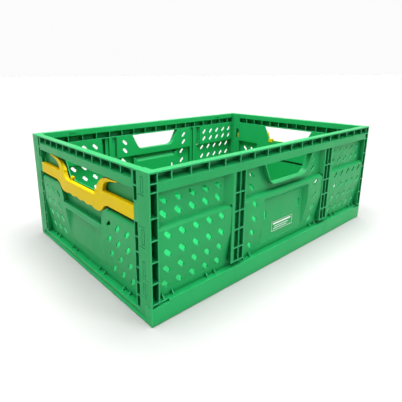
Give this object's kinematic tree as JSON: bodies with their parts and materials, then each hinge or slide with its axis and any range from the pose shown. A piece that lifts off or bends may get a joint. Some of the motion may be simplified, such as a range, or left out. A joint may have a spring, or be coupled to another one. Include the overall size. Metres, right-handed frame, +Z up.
{
  "type": "collapsible storage crate",
  "caption": "Open-topped folding storage crate with vented walls, hand holes, hinged short walls and sprung latch handles.",
  "frame": {"origin": "centre of the footprint, on the surface the crate stands on", "axes": "+X along the 600 mm length, +Y along the 400 mm width, +Z up"},
  "size_m": [0.6, 0.4, 0.214],
  "materials": {
    "green_plastic": "satin",
    "base_green_plastic": "satin",
    "yellow_plastic": "satin",
    "white_label": "satin"
  },
  "bodies": {
    "base": {"base_tray": "base_green_plastic", "long_wall_front": "green_plastic", "long_wall_back": "green_plastic", "blank_label": "white_label"},
    "left_wall": {"short_wall_left": "green_plastic"},
    "right_wall": {"short_wall_right": "green_plastic"},
    "left_handle": {"latch_handle_left": "yellow_plastic", "spring_arm_left_a": "yellow_plastic", "spring_arm_left_b": "yellow_plastic"},
    "right_handle": {"latch_handle_right": "yellow_plastic", "spring_arm_right_a": "yellow_plastic", "spring_arm_right_b": "yellow_plastic"}
  },
  "joints": [
    {"name": "left_wall_fold", "type": "hinge", "parent": "base", "child": "left_wall", "pos_m": [-0.283, 0, 0.015], "axis": [0, 1, 0], "range_deg": [0, 90]},
    {"name": "right_wall_fold", "type": "hinge", "parent": "base", "child": "right_wall", "pos_m": [0.283, 0, 0.015], "axis": [0, -1, 0], "range_deg": [0, 90]},
    {"name": "left_latch_lift", "type": "slide", "parent": "left_wall", "child": "left_handle", "axis": [0, 0, 1], "range_m": [0, 0.012], "stiffness_N_per_m": 800, "springref_m": -0.003, "deforming": ["spring_arm_left_a", "spring_arm_left_b"]},
    {"name": "right_latch_lift", "type": "slide", "parent": "right_wall", "child": "right_handle", "axis": [0, 0, 1], "range_m": [0, 0.012], "stiffness_N_per_m": 800, "springref_m": -0.003, "deforming": ["spring_arm_right_a", "spring_arm_right_b"]}
  ]
}
